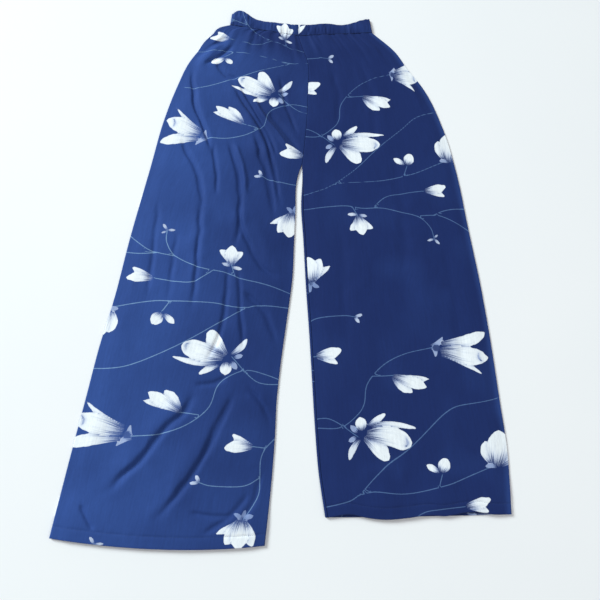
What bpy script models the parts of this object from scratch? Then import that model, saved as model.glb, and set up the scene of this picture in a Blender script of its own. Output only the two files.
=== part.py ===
"""Wide-legged palazzo trousers laid flat, front up, on the surface they rest on.

Units are metres. +Y points to the waist, +Z up, +X to the wearer's left leg. The origin is the
middle of the flat outline, on the surface underneath. Every piece is a wall of cloth: a grid
between two edges of its cut, thickened with Solidify. The lengths in the tables are measured
down from the top of the waistband at the centre front, and across from that same line.
"""

import math
from collections import namedtuple

import bpy
import numpy as np

# Cloth
WALL = 0.0012
TURN_UP_WALL = 0.0010
WAISTBAND_WALL = 0.0026
SEAM_GAP = 0.0003

# The flat outline: where the centre front of the waist lies from the origin
WAIST_X = 0.0246
WAIST_Y = 0.4781

# Waistband, whose elastic pulls it in, so that it is much narrower than the hips
BAND_SEAM_RIGHT = (-0.149, 0.020)
BAND_SEAM_CENTRE = (-0.015, 0.031)
BAND_SEAM_LEFT = (0.134, 0.010)
BAND_TOP_RIGHT = -0.146
BAND_TOP_LEFT = 0.129
BAND_COLUMNS = 40
BAND_ROWS = 3

# Rise and hems
CROTCH_X = -0.008
CROTCH_DROP = 0.302
CROTCH_TO_OUTSEAM = 0.010
INSEAM_WRAP_REACH = 0.080
HEM_TURN_UP = 0.018
HEM_ROWS = 2

# Mesh fineness
FRONT_COLUMNS = 18
FRONT_RISE_ROWS = 11
FRONT_LEG_ROWS = 19
BACK_COLUMNS = 10
BACK_RISE_ROWS = 6
BACK_LEG_ROWS = 11

# How the front rests on the back
SEAM_EASE = 0.028
CROWN = 0.0018
LEG_BASE = WALL + SEAM_GAP
WAIST_BASE = WAISTBAND_WALL + SEAM_GAP
WAIST_BASE_REACH = 0.070
HEM_BASE = WALL + 2.0 * TURN_UP_WALL + 3.0 * SEAM_GAP
HEM_BASE_REACH = 0.060

# Gathers under the waistband
GATHER_HEIGHT = 0.0014
GATHER_REACH = 0.105
GATHERS_PER_PANEL = 4.5
BAND_RIPPLE = 0.0007
BAND_RIPPLES = 10

# The wearer's right end of the waistband is bunched up into a hump
BUNCH_HEIGHT = 0.0035
BUNCH_ACROSS = -0.127
BUNCH_HALF_WIDTH = 0.018

EdgePoint = namedtuple("EdgePoint", "drop across")
Fold = namedtuple("Fold", "from_across from_drop to_across to_drop height half_width")
Leg = namedtuple("Leg", "side outseam inseam inseam_wrap hem_sag folds")

BAND_TOP = (
    EdgePoint(-0.004, -0.146), EdgePoint(-0.010, -0.137), EdgePoint(-0.009, -0.121),
    EdgePoint(0.002, -0.101), EdgePoint(0.006, -0.062), EdgePoint(0.0055, 0.000),
    EdgePoint(-0.0015, 0.038), EdgePoint(-0.003, 0.079), EdgePoint(-0.0105, 0.100),
    EdgePoint(-0.020, 0.124), EdgePoint(-0.0195, 0.129),
)

CENTRE_SEAM = (
    EdgePoint(BAND_SEAM_CENTRE[1], BAND_SEAM_CENTRE[0]), EdgePoint(0.055, -0.008),
    EdgePoint(0.085, 0.0025), EdgePoint(0.150, 0.0035), EdgePoint(0.230, -0.0005),
    EdgePoint(CROTCH_DROP, CROTCH_X),
)
RIGHT_OUTSEAM = (
    EdgePoint(0.020, -0.149), EdgePoint(0.025, -0.164), EdgePoint(0.043, -0.182),
    EdgePoint(0.059, -0.196), EdgePoint(0.082, -0.209), EdgePoint(0.104, -0.2225),
    EdgePoint(0.161, -0.245), EdgePoint(0.224, -0.264), EdgePoint(0.329, -0.286),
    EdgePoint(0.463, -0.314), EdgePoint(0.572, -0.334), EdgePoint(0.650, -0.352),
    EdgePoint(0.742, -0.369), EdgePoint(0.838, -0.387), EdgePoint(0.956, -0.408),
)
RIGHT_INSEAM = (
    EdgePoint(CROTCH_DROP, CROTCH_X), EdgePoint(0.325, -0.0155), EdgePoint(0.402, -0.0205),
    EdgePoint(0.450, -0.0225), EdgePoint(0.526, -0.0260), EdgePoint(0.590, -0.0340),
    EdgePoint(0.679, -0.046), EdgePoint(0.739, -0.052), EdgePoint(0.806, -0.055),
    EdgePoint(0.887, -0.061), EdgePoint(0.974, -0.070),
)
LEFT_OUTSEAM = (
    EdgePoint(0.010, 0.134), EdgePoint(0.046, 0.178), EdgePoint(0.084, 0.2045),
    EdgePoint(0.117, 0.230), EdgePoint(0.210, 0.272), EdgePoint(0.294, 0.293),
    EdgePoint(0.416, 0.312), EdgePoint(0.533, 0.330), EdgePoint(0.627, 0.341),
    EdgePoint(0.736, 0.351), EdgePoint(0.824, 0.359), EdgePoint(0.932, 0.358),
)
LEFT_INSEAM = (
    EdgePoint(CROTCH_DROP, CROTCH_X), EdgePoint(0.325, -0.0075), EdgePoint(0.382, -0.010),
    EdgePoint(0.449, -0.006), EdgePoint(0.543, -0.001), EdgePoint(0.616, 0.004),
    EdgePoint(0.704, 0.009), EdgePoint(0.790, 0.014), EdgePoint(0.864, 0.020),
    EdgePoint(0.932, 0.030),
)

# The largest folds, as soft ridges along straight lines
RIGHT_FOLDS = (
    Fold(-0.164, 0.056, -0.222, 0.112, 0.0040, 0.015),
    Fold(-0.147, 0.120, -0.061, 0.335, 0.0030, 0.015),
    Fold(-0.216, 0.152, -0.170, 0.300, 0.0026, 0.015),
    Fold(-0.190, 0.381, -0.203, 0.585, 0.0026, 0.018),
    Fold(-0.136, 0.379, -0.041, 0.521, 0.0024, 0.018),
    Fold(-0.124, 0.509, -0.112, 0.656, 0.0022, 0.016),
    Fold(-0.198, 0.727, -0.339, 0.900, 0.0032, 0.020),
    Fold(-0.150, 0.778, -0.267, 0.948, 0.0032, 0.020),
    Fold(-0.102, 0.723, -0.057, 0.773, 0.0018, 0.016),
)
LEFT_FOLDS = (
    Fold(0.120, 0.060, 0.165, 0.290, 0.0016, 0.022),
    Fold(0.210, 0.300, 0.225, 0.640, 0.0014, 0.028),
    Fold(0.095, 0.420, 0.105, 0.760, 0.0012, 0.028),
    Fold(0.128, 0.840, 0.125, 0.936, 0.0030, 0.030),
    Fold(0.238, 0.850, 0.240, 0.934, 0.0026, 0.026),
)

# inseam_wrap is how far the back panel comes round the leg's inner edge before it meets the front
RIGHT_LEG = Leg("right", RIGHT_OUTSEAM, RIGHT_INSEAM, 0.0, 0.011, RIGHT_FOLDS)
LEFT_LEG = Leg("left", LEFT_OUTSEAM, LEFT_INSEAM, 0.0045, 0.001, LEFT_FOLDS)
LEGS = (RIGHT_LEG, LEFT_LEG)

PRINT_BLUE_RIGHT = (0.034, 0.075, 0.243, 1.0)
PRINT_BLUE_LEFT = (0.017, 0.034, 0.133, 1.0)
BAND_BLUE = (0.019, 0.045, 0.155, 1.0)
CLOTH_ROUGHNESS = 0.72


def smooth(table, drops):
    """Across at each drop, read from a smooth curve through an edge's points."""
    knots = np.array([point.drop for point in table])
    values = np.array([point.across for point in table])
    slopes = np.gradient(values, knots)
    drops = np.clip(drops, knots[0], knots[-1])
    at = np.clip(np.searchsorted(knots, drops) - 1, 0, len(knots) - 2)
    span = knots[at + 1] - knots[at]
    t = (drops - knots[at]) / span
    return (
        values[at] * (1 + 2 * t) * (1 - t) ** 2
        + values[at + 1] * t * t * (3 - 2 * t)
        + span * (slopes[at] * t * (1 - t) ** 2 - slopes[at + 1] * t * t * (1 - t))
    )


def ease(distance, reach):
    """0 at an edge, rising softly to 1 at the given reach from it."""
    t = np.clip(distance / reach, 0.0, 1.0)
    return t * t * (3 - 2 * t)


def leg_grid(leg, columns, rise_rows, leg_rows, inseam_inset=0.0):
    """Across, drop and the share of the way from the inner edge, over one leg's panel.

    The last HEM_ROWS rows of the grid are the stretch that the hem's turn-up backs.
    """
    inner_waist, inner_hem = BAND_SEAM_CENTRE[1], leg.inseam[-1].drop
    outer_waist, outer_hem = leg.outseam[0].drop, leg.outseam[-1].drop
    outer_crotch = CROTCH_DROP + CROTCH_TO_OUTSEAM
    turn_up = 1.0 - HEM_TURN_UP / (inner_hem - CROTCH_DROP)
    rise = np.linspace(0.0, 1.0, rise_rows + 1)[:-1]
    above_hem = np.linspace(0.0, turn_up, leg_rows + 1)
    down = np.concatenate([above_hem, np.linspace(turn_up, 1.0, HEM_ROWS + 1)[1:]])
    rise_drop = inner_waist + (CROTCH_DROP - inner_waist) * rise
    leg_drop = CROTCH_DROP + (inner_hem - CROTCH_DROP) * down
    inner_drop = np.concatenate([rise_drop, leg_drop])
    outer_drop = np.concatenate([
        outer_waist + (outer_crotch - outer_waist) * rise,
        outer_crotch + (outer_hem - outer_crotch) * down,
    ])
    inner = np.concatenate([smooth(CENTRE_SEAM, rise_drop), smooth(leg.inseam, leg_drop)])
    outwards = -1.0 if leg.side == "right" else 1.0
    inset = inseam_inset * ease(inner_drop - CROTCH_DROP, INSEAM_WRAP_REACH)
    inner += outwards * (SEAM_GAP + inset)
    outer = smooth(leg.outseam, outer_drop)
    share = np.linspace(0.0, 1.0, columns + 1)[None, :]
    across = inner[:, None] + (outer - inner)[:, None] * share
    drop = inner_drop[:, None] + (outer_drop - inner_drop)[:, None] * share
    below = np.clip((drop - CROTCH_DROP) / (inner_hem - CROTCH_DROP), 0.0, 1.0)
    drop = drop + leg.hem_sag * 4 * share * (1 - share) * below**3
    return across, drop, np.broadcast_to(share, across.shape)


def fold_height(folds, across, drop):
    """The folds' ridges added together."""
    height = np.zeros_like(across)
    for fold in folds:
        run_x, run_y = fold.to_across - fold.from_across, fold.to_drop - fold.from_drop
        length = math.hypot(run_x, run_y)
        off_x, off_y = across - fold.from_across, drop - fold.from_drop
        along = (off_x * run_x + off_y * run_y) / length**2
        aside = (off_x * run_y - off_y * run_x) / length
        fade = ease(along + 0.1, 0.3) * ease(1.1 - along, 0.3)
        height += fold.height * fade * np.exp(-((aside / fold.half_width) ** 2))
    return height


def front_height(leg, across, drop, share):
    """How high the underside of a front panel lies above the surface."""
    outer_hem = leg.outseam[-1].drop
    inner_hem = leg.inseam[-1].drop
    waist = leg.outseam[0].drop * share + BAND_SEAM_CENTRE[1] * (1 - share)
    hem = outer_hem * share + inner_hem * (1 - share)
    width = np.abs(across[:, -1] - across[:, 0])[:, None]
    from_outer = ease((1 - share) * width, SEAM_EASE)
    from_inner = ease(share * width, SEAM_EASE)
    open_inner = ease(drop - CROTCH_DROP + 0.045, 0.060)
    inside = from_outer * (1 - open_inner * (1 - from_inner))
    base = (
        LEG_BASE
        + (WAIST_BASE - LEG_BASE) * (1 - ease(drop - waist, WAIST_BASE_REACH))
        + (HEM_BASE - LEG_BASE) * (1 - ease(hem - HEM_TURN_UP - drop, HEM_BASE_REACH))
    )
    gathers = np.cos(2 * math.pi * GATHERS_PER_PANEL * share) * 0.5 + 0.5
    gathered = (1 - ease(drop - waist, GATHER_REACH)) * ease(drop - waist, 0.012)
    lift = CROWN + fold_height(leg.folds, across, drop)
    return base + inside * (lift * ease(drop - waist, 0.030) + GATHER_HEIGHT * gathers * gathered)


def cloth(name, across, drop, height, wall, finish):
    """One piece of cloth: a grid of points, thickened upwards by its wall."""
    rows, columns = across.shape
    x, y = WAIST_X + across, WAIST_Y - drop
    points = np.stack([x, y, height], axis=-1).reshape(-1, 3)
    clockwise = (x[0, -1] - x[0, 0]) * (y[-1, 0] - y[0, 0]) < 0
    faces = []
    for row in range(rows - 1):
        for column in range(columns - 1):
            here = row * columns + column
            corners = (here, here + 1, here + columns + 1, here + columns)
            faces.append(corners[::-1] if clockwise else corners)
    mesh = bpy.data.meshes.new(name)
    mesh.from_pydata(points.tolist(), [], faces)
    mesh.materials.append(finish)
    mesh.shade_smooth()
    piece = bpy.data.objects.new(name, mesh)
    bpy.data.collections["palazzo_trousers"].objects.link(piece)
    thicken = piece.modifiers.new("wall", "SOLIDIFY")
    thicken.thickness = wall
    thicken.offset = 1.0
    return piece


def finish(name, colour):
    material = bpy.data.materials.new(name)
    material.use_nodes = True
    shader = material.node_tree.nodes["Principled BSDF"]
    shader.inputs["Base Color"].default_value = colour
    shader.inputs["Roughness"].default_value = CLOTH_ROUGHNESS
    shader.inputs["Metallic"].default_value = 0.0
    return material


def front_leg(leg, material):
    """A front panel, with the turned-up end of its hem against its underside."""
    across, drop, share = leg_grid(
        leg, FRONT_COLUMNS, FRONT_RISE_ROWS, FRONT_LEG_ROWS, leg.inseam_wrap
    )
    height = front_height(leg, across, drop, share)
    cloth(f"front_leg_{leg.side}", across, drop, height, WALL, material)
    hem = slice(-HEM_ROWS - 1, None)
    under = height[hem] - SEAM_GAP - TURN_UP_WALL
    cloth(f"hem_front_{leg.side}", across[hem], drop[hem], under, TURN_UP_WALL, material)


def back_leg(leg, material):
    """A back panel, flat on the surface, with the turned-up end of its hem on top of it."""
    across, drop, _ = leg_grid(leg, BACK_COLUMNS, BACK_RISE_ROWS, BACK_LEG_ROWS)
    height = np.zeros_like(across)
    cloth(f"back_leg_{leg.side}", across, drop, height, WALL, material)
    hem = slice(-HEM_ROWS - 1, None)
    over = height[hem] + WALL + SEAM_GAP
    cloth(f"hem_back_{leg.side}", across[hem], drop[hem], over, TURN_UP_WALL, material)


def waistband(name, base, ripple, bunch, material):
    """Half of the elastic waistband, from its seam with the legs up to its top edge."""
    share = np.linspace(0.0, 1.0, BAND_COLUMNS + 1)
    seam_x = BAND_SEAM_RIGHT[0] + (BAND_SEAM_LEFT[0] - BAND_SEAM_RIGHT[0]) * share
    ends = (BAND_SEAM_RIGHT, BAND_SEAM_CENTRE, BAND_SEAM_LEFT)
    seam_drop = np.interp(seam_x, [end[0] for end in ends], [end[1] for end in ends]) - SEAM_GAP
    top_x = BAND_TOP_RIGHT + (BAND_TOP_LEFT - BAND_TOP_RIGHT) * share
    top_drop = np.interp(top_x, [point.across for point in BAND_TOP], [point.drop for point in BAND_TOP])
    up = np.linspace(0.0, 1.0, BAND_ROWS + 1)[:, None]
    across = seam_x + (top_x - seam_x) * up
    drop = seam_drop + (top_drop - seam_drop) * up
    waves = ripple * (0.5 - 0.5 * np.cos(2 * math.pi * BAND_RIPPLES * share))
    hump = bunch * np.exp(-(((across - BUNCH_ACROSS) / BUNCH_HALF_WIDTH) ** 2))
    cloth(name, across, drop, base + waves + hump, WAISTBAND_WALL, material)


def main():
    for leftover in list(bpy.data.objects):
        bpy.data.objects.remove(leftover)
    collection = bpy.data.collections.new("palazzo_trousers")
    bpy.context.scene.collection.children.link(collection)
    cloth_finish = {
        "right": finish("printed cloth, right leg", PRINT_BLUE_RIGHT),
        "left": finish("printed cloth, left leg", PRINT_BLUE_LEFT),
    }
    band_finish = finish("printed cloth, waistband", BAND_BLUE)
    for leg in LEGS:
        back_leg(leg, cloth_finish[leg.side])
        front_leg(leg, cloth_finish[leg.side])
    waistband("waistband_back", 0.0, 0.0, 0.0, band_finish)
    waistband("waistband_front", WAIST_BASE, BAND_RIPPLE, BUNCH_HEIGHT, band_finish)


main()
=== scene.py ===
"""The looks of wide-legged palazzo trousers that lie flat, front up, on a pale floor.

Laid out as an add-on and run as a script. Units are metres unless a table says otherwise. As in
the solids, "across" and "drop" are measured from the top of the waistband at the centre front,
and the sides are the wearer's: the right leg is at -X.
"""

import math
from collections import namedtuple

import bpy
import bmesh
import numpy as np
from mathutils import Matrix, Vector


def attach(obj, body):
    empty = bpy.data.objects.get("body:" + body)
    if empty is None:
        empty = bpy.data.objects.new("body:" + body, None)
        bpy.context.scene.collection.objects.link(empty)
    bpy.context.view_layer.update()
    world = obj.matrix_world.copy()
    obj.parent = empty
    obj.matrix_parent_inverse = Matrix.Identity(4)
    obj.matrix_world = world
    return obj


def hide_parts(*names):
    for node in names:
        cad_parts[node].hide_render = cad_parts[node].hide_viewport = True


bl_info = {
    "name": "Palazzo Trousers",
    "version": (1, 0, 0),
    "blender": (4, 5, 0),
    "location": "View3D > Sidebar > Trousers",
    "description": "Printed wide-legged trousers laid flat, panel by panel",
    "category": "Object",
}

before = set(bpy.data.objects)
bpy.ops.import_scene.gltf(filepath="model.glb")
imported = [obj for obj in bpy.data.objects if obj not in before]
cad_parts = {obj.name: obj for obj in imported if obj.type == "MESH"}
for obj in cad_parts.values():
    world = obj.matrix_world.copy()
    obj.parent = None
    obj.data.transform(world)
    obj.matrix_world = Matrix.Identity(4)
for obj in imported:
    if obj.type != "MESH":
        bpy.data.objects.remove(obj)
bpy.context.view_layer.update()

# ---------------------------------------------------------------- sizes of the solids

MM = 0.001
WAIST_X = 0.0246
WAIST_Y = 0.4781
SOLID_WALL = 0.0012
SOLID_BAND_WALL = 0.0026
SOLID_TURN_UP_WALL = 0.0010
SEAM_GAP = 0.0003
CROTCH_X = -0.008
CROTCH_DROP = 0.302
CROTCH_TO_OUTSEAM = 0.010
HEM_TURN_UP = 0.018
WAIST_SEAM_CENTRE = (-0.015, 0.031)
WAIST_SEAM_RIGHT = (-0.149, 0.020)
WAIST_SEAM_LEFT = (0.134, 0.010)
BAND_TOP_ACROSS = (-0.146, 0.129)

# How the front rests on the back, as in the solids
SEAM_EASE = 0.028
CROWN = 0.0018
LEG_BASE = SOLID_WALL + SEAM_GAP
WAIST_BASE = SOLID_BAND_WALL + SEAM_GAP
HEM_BASE = SOLID_WALL + 2.0 * SOLID_TURN_UP_WALL + 3.0 * SEAM_GAP
WAIST_BASE_REACH = 0.070
HEM_BASE_REACH = 0.060
GATHER_REACH = 0.105
BUNCH_HEIGHT = 0.0035
BUNCH_ACROSS = -0.127
BUNCH_HALF_WIDTH = 0.018

# ---------------------------------------------------------------- sizes of the cloth

CLOTH = 0.0006
HEM_FOLD = 0.00075
CENTRE_TUCK = 0.0007
INSEAM_WRAP_REACH = 0.080
FRONT_CELL = 0.0040
BACK_CELL = 0.0060
EDGE_RUN_STEPS = (0.2, 0.4, 0.6, 0.8, 1.0)
FINE_ROW = 0.0012
FINE_ROWS_REACH = 0.004
PETAL_MARGIN = 0.003
SHARP_CREASE = 7.0
BAND_CELL = 0.0010
BAND_MIDDLE = 0.00275
BAND_CENTRE_SEAM = -0.016
BAND_BUILT_DEPTH = 0.034
BAND_PRINT_DEPTH = 0.068
BAND_STITCH_ROW = 0.035
BAND_EDGE_ROUND = 0.0009
TURN_UP_SHORT = 0.002
SHARP_SHARE = 0.35
DRAPE_HEIGHTS = (0.40, 0.20)
GATHER_HEIGHT = 0.0010
BACK_GATHER_HEIGHT = 0.0005
STITCH_DIP = 0.0006
STITCH_DIP_REACH = 0.0020
BAND_PUFF = 0.0017
BAND_WAVE = 0.0009
BAND_SEAM_DIP = 0.0006
BAND_LEAST_DEPTH = 0.0012
BACK_PRINT_SHIFT = (0.360, 0.230)
CAMERA_PLACE = (-0.133, -0.323, 1.073)
CAMERA_ROLL_ASIDE = -7.74
CAMERA_TIP = 12.45
SENSOR_WIDTH = 36.0
FLOOR_SIZE = 8.0
FLOOR_BELOW = 0.0001
WINDOW_PLACE = (-4.9, 3.1, 3.5)
WINDOW_SIZE = 2.7
FILL_PLACE = (1.2, -0.8, 2.4)
FILL_SIZE = 2.0
STITCH_PITCH = 0.0031
STITCH_LENGTH = 0.0024
THREAD_RADIUS = 0.00016

EdgePoint = namedtuple("EdgePoint", "drop across")
Crease = namedtuple("Crease", "height half_width route")
Petal = namedtuple("Petal", "from_u from_v tip_u tip_v half full bend point white")
Motif = namedtuple("Motif", "u v petals")
Leg = namedtuple(
    "Leg", "side outseam inseam inseam_wrap hem_sag hem_waves print_at print_down slack pulls"
)
HemWave = namedtuple("HemWave", "share up")
Pull = namedtuple("Pull", "across drop aside down")


def rows(kind, *values):
    """A table: each row's values under the kind's column names."""
    return tuple(kind(*row) for row in values)


CENTRE_SEAM = rows(
    EdgePoint,
    (0.031, -0.015), (0.055, -0.008), (0.085, 0.0025), (0.150, 0.0035), (0.230, -0.0005),
    (CROTCH_DROP, CROTCH_X),
)
BAND_TOP = rows(
    EdgePoint,
    (-0.004, -0.146), (-0.010, -0.137), (-0.009, -0.121), (0.002, -0.101), (0.006, -0.062),
    (0.0055, 0.000), (-0.0015, 0.038), (-0.003, 0.079), (-0.0105, 0.100), (-0.020, 0.124),
    (-0.0195, 0.129),
)
RIGHT_OUTSEAM = rows(
    EdgePoint,
    (0.020, -0.149), (0.025, -0.164), (0.043, -0.182), (0.059, -0.196), (0.082, -0.209),
    (0.104, -0.2225), (0.161, -0.245), (0.224, -0.264), (0.329, -0.286), (0.463, -0.314),
    (0.572, -0.334), (0.650, -0.352), (0.742, -0.369), (0.838, -0.387), (0.956, -0.408),
)
RIGHT_INSEAM = rows(
    EdgePoint,
    (CROTCH_DROP, CROTCH_X), (0.325, -0.0155), (0.402, -0.0205), (0.450, -0.0225), (0.526, -0.0260),
    (0.590, -0.0340), (0.679, -0.046), (0.739, -0.052), (0.806, -0.055), (0.887, -0.061),
    (0.974, -0.070),
)
LEFT_OUTSEAM = rows(
    EdgePoint,
    (0.010, 0.134), (0.046, 0.178), (0.084, 0.2045), (0.117, 0.230), (0.210, 0.272), (0.294, 0.293),
    (0.416, 0.312), (0.533, 0.330), (0.627, 0.341), (0.736, 0.351), (0.824, 0.359), (0.932, 0.358),
)
LEFT_INSEAM = rows(
    EdgePoint,
    (CROTCH_DROP, CROTCH_X), (0.325, -0.0075), (0.382, -0.010), (0.449, -0.006), (0.543, -0.001),
    (0.616, 0.004), (0.704, 0.009), (0.790, 0.014), (0.864, 0.020), (0.932, 0.030),
)

# Creases: how high the ridge stands (a trough is below 0) and half its width, in millimetres,
# then the (across, drop) points that it runs through, in metres
RIGHT_CREASES = rows(
    Crease,
    # the solids' large folds
    (4.0, 15.0, ((-0.164, 0.056), (-0.222, 0.112))),
    (3.0, 15.0, ((-0.147, 0.120), (-0.061, 0.335))),
    (2.6, 15.0, ((-0.216, 0.152), (-0.170, 0.300))),
    (2.6, 18.0, ((-0.190, 0.381), (-0.203, 0.585))),
    (2.4, 18.0, ((-0.136, 0.379), (-0.041, 0.521))),
    (2.2, 16.0, ((-0.124, 0.509), (-0.112, 0.656))),
    (3.2, 20.0, ((-0.198, 0.727), (-0.339, 0.900))),
    (3.2, 20.0, ((-0.150, 0.778), (-0.267, 0.948))),
    (1.8, 16.0, ((-0.102, 0.723), (-0.057, 0.773))),
    # across the hip, below the bunched end of the waistband
    (-5.9, 5.0, ((-0.152, 0.050), (-0.186, 0.070), (-0.224, 0.106))),
    (-3.5, 4.0, ((-0.140, 0.062), (-0.168, 0.090), (-0.200, 0.112))),
    (-5.5, 4.0, ((-0.222, 0.108), (-0.216, 0.152), (-0.210, 0.200), (-0.194, 0.236), (-0.172, 0.300))),
    (-5.2, 4.5, ((-0.176, 0.104), (-0.152, 0.130), (-0.128, 0.134))),
    # from the hip towards the crotch
    (-4.9, 4.0, ((-0.150, 0.132), (-0.119, 0.186), (-0.086, 0.236), (-0.063, 0.300), (-0.046, 0.400))),
    (-4.2, 3.6, ((-0.136, 0.136), (-0.104, 0.190), (-0.074, 0.240), (-0.052, 0.300))),
    (4.2, 4.5, ((-0.112, 0.160), (-0.078, 0.214), (-0.040, 0.262), (-0.020, 0.290))),
    (-4.6, 4.5, ((-0.072, 0.196), (-0.041, 0.236), (-0.012, 0.276))),
    (-3.1, 3.6, ((-0.052, 0.120), (-0.036, 0.190), (-0.012, 0.250))),
    # down the thigh
    (-4.2, 4.5, ((-0.236, 0.262), (-0.216, 0.301), (-0.198, 0.343), (-0.190, 0.400))),
    (-3.5, 3.6, ((-0.178, 0.262), (-0.168, 0.310), (-0.164, 0.380))),
    (-5.2, 4.5, ((-0.152, 0.256), (-0.136, 0.296), (-0.124, 0.339), (-0.122, 0.420), (-0.130, 0.480))),
    (3.8, 4.5, ((-0.138, 0.262), (-0.120, 0.310), (-0.108, 0.380))),
    (-4.9, 5.0, ((-0.104, 0.230), (-0.088, 0.281), (-0.070, 0.336), (-0.058, 0.420))),
    (-3.8, 5.0, ((-0.191, 0.370), (-0.194, 0.446), (-0.197, 0.510), (-0.203, 0.600))),
    (-2.0, 4.5, ((-0.266, 0.380), (-0.272, 0.460), (-0.280, 0.580))),
    (-1.7, 4.5, ((-0.232, 0.440), (-0.240, 0.520), (-0.244, 0.580))),
    # knee
    (-3.8, 4.5, ((-0.128, 0.404), (-0.110, 0.452), (-0.078, 0.507), (-0.044, 0.524))),
    (-4.2, 4.0, ((-0.141, 0.500), (-0.144, 0.571), (-0.152, 0.630), (-0.176, 0.680))),
    (-3.8, 4.0, ((-0.122, 0.505), (-0.116, 0.590), (-0.110, 0.660))),
    (-4.9, 5.0, ((-0.116, 0.548), (-0.084, 0.576), (-0.067, 0.600), (-0.050, 0.650))),
    # shin and hem
    (-5.9, 6.3, ((-0.192, 0.716), (-0.206, 0.757), (-0.240, 0.792), (-0.284, 0.845), (-0.338, 0.898))),
    (-5.5, 5.4, ((-0.118, 0.720), (-0.150, 0.780), (-0.166, 0.822), (-0.190, 0.862),
        (-0.228, 0.910), (-0.262, 0.944))),
    (-3.5, 4.5, ((-0.104, 0.716), (-0.078, 0.745), (-0.056, 0.790))),
    (-2.8, 4.5, ((-0.136, 0.700), (-0.160, 0.712), (-0.196, 0.716))),
    (-3.1, 3.6, ((-0.368, 0.904), (-0.350, 0.934), (-0.340, 0.948))),
    (-2.4, 3.6, ((-0.196, 0.920), (-0.158, 0.927), (-0.118, 0.928))),
    (-2.6, 4.5, ((-0.096, 0.888), (-0.128, 0.930), (-0.178, 0.958))),
    (-2.0, 4.5, ((-0.072, 0.850), (-0.086, 0.900), (-0.112, 0.940))),
)
LEFT_CREASES = rows(
    Crease,
    (1.6, 22.0, ((0.120, 0.060), (0.165, 0.290))),
    (1.4, 28.0, ((0.210, 0.300), (0.225, 0.640))),
    (1.2, 28.0, ((0.095, 0.420), (0.105, 0.760))),
    (3.0, 30.0, ((0.128, 0.840), (0.125, 0.936))),
    (2.6, 26.0, ((0.238, 0.850), (0.240, 0.934))),
    (-1.2, 7.0, ((0.036, 0.060), (0.060, 0.140), (0.064, 0.240))),
    (-1.0, 8.0, ((0.100, 0.050), (0.128, 0.150), (0.134, 0.290))),
    (-1.0, 9.0, ((0.170, 0.260), (0.182, 0.420), (0.180, 0.560))),
    (-0.9, 10.0, ((0.060, 0.380), (0.066, 0.520), (0.070, 0.680))),
    (-1.0, 10.0, ((0.262, 0.420), (0.282, 0.600), (0.290, 0.780))),
    (0.9, 6.0, ((0.168, 0.058), (0.204, 0.110), (0.236, 0.180))),
)

# How the edge of each front hem waves up and down
RIGHT_HEM_WAVES = (HemWave(0.0, 0.0), HemWave(1.0, 0.0))
LEFT_HEM_WAVES = rows(
    HemWave,
    (0.0, 0.0), (0.11, 0.005), (0.21, -0.001), (0.30, -0.004), (0.42, -0.002), (0.55, 0.002),
    (0.63, 0.000), (0.74, 0.005), (0.81, 0.006), (0.90, 0.001), (1.0, 0.0),
)

# Where the print lies off its flat cut: at (across, drop), how far it is moved aside and down.
# Most rows stand for gathers and handling. They were fitted, not worked out from the cloth.
PULL_REACH = 0.055
PULL_HOLD = 0.06
RIGHT_PULLS = rows(
    Pull,
    (-0.040, 0.037, -0.008, 0.034), (-0.149, 0.050, -0.003, 0.020), (-0.159, 0.099, -0.008, 0.024),
    (-0.088, 0.120, -0.010, 0.028), (-0.066, 0.163, -0.015, 0.016), (-0.132, 0.133, 0.003, -0.004),
    (-0.145, 0.211, 0.007, -0.012), (-0.182, 0.265, 0.016, -0.018), (-0.259, 0.232, 0.042, -0.018),
    (-0.037, 0.283, -0.004, -0.009), (-0.085, 0.329, 0.011, -0.026), (-0.040, 0.416, -0.008, -0.010),
    (-0.249, 0.441, 0.000, 0.000), (-0.150, 0.400, 0.000, 0.000),
)
LEFT_PULLS = rows(
    Pull,
    (-0.008, 0.015, 0.004, 0.015), (0.017, 0.137, 0.012, 0.034), (0.173, 0.091, 0.024, 0.022),
    (0.221, 0.118, -0.072, 0.014), (0.116, 0.170, 0.010, 0.018), (0.150, 0.161, 0.004, 0.008),
    (0.099, 0.206, 0.004, 0.000), (0.056, 0.240, 0.009, 0.003), (0.191, 0.279, 0.013, -0.009),
    (0.275, 0.249, 0.000, -0.004), (0.252, 0.335, 0.013, -0.017), (0.101, 0.410, 0.006, -0.021),
    (0.243, 0.435, 0.026, -0.014), (0.021, 0.501, 0.006, -0.014), (0.093, 0.594, 0.000, 0.009),
    (0.036, 0.655, 0.000, 0.000), (0.226, 0.638, 0.017, 0.015), (0.320, 0.646, 0.022, 0.026),
    (0.184, 0.706, 0.004, 0.006), (0.078, 0.801, -0.002, -0.003), (0.236, 0.849, 0.007, 0.014),
    (0.340, 0.824, 0.018, 0.020), (0.303, 0.916, 0.018, 0.013),
)

RIGHT_LEG = Leg(
    "right", RIGHT_OUTSEAM, RIGHT_INSEAM, 0.0, 0.011, RIGHT_HEM_WAVES,
    (-0.163, 0.660), (-0.1675, 0.9859), 1.028, RIGHT_PULLS,
)
LEFT_LEG = Leg(
    "left", LEFT_OUTSEAM, LEFT_INSEAM, 0.0045, 0.001, LEFT_HEM_WAVES,
    (0.124, 0.803), (0.0815, 0.9967), 0.992, LEFT_PULLS,
)

# ---------------------------------------------------------------- the print

# One repeat of the cloth, in metres, and its drawing in millimetres: u across the cloth, v down
# the right leg. The left leg is cut with the cloth turned round.
REPEAT_U = 0.400
REPEAT_V = 0.545
STEM_HALF = 0.00065
STEM_STEP = 0.004
STEM_REACH = 12.0
MOTIF_REACH = 125.0
FAINT_STEM = 0.5
FAINT_REACH = 0.190
PETAL_BASE = 0.40
PETAL_RAGGED = 0.8
TIP_RAGGED = 2.2
MID_GREY = (0.5, 0.5, 0.5, 1.0)

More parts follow.
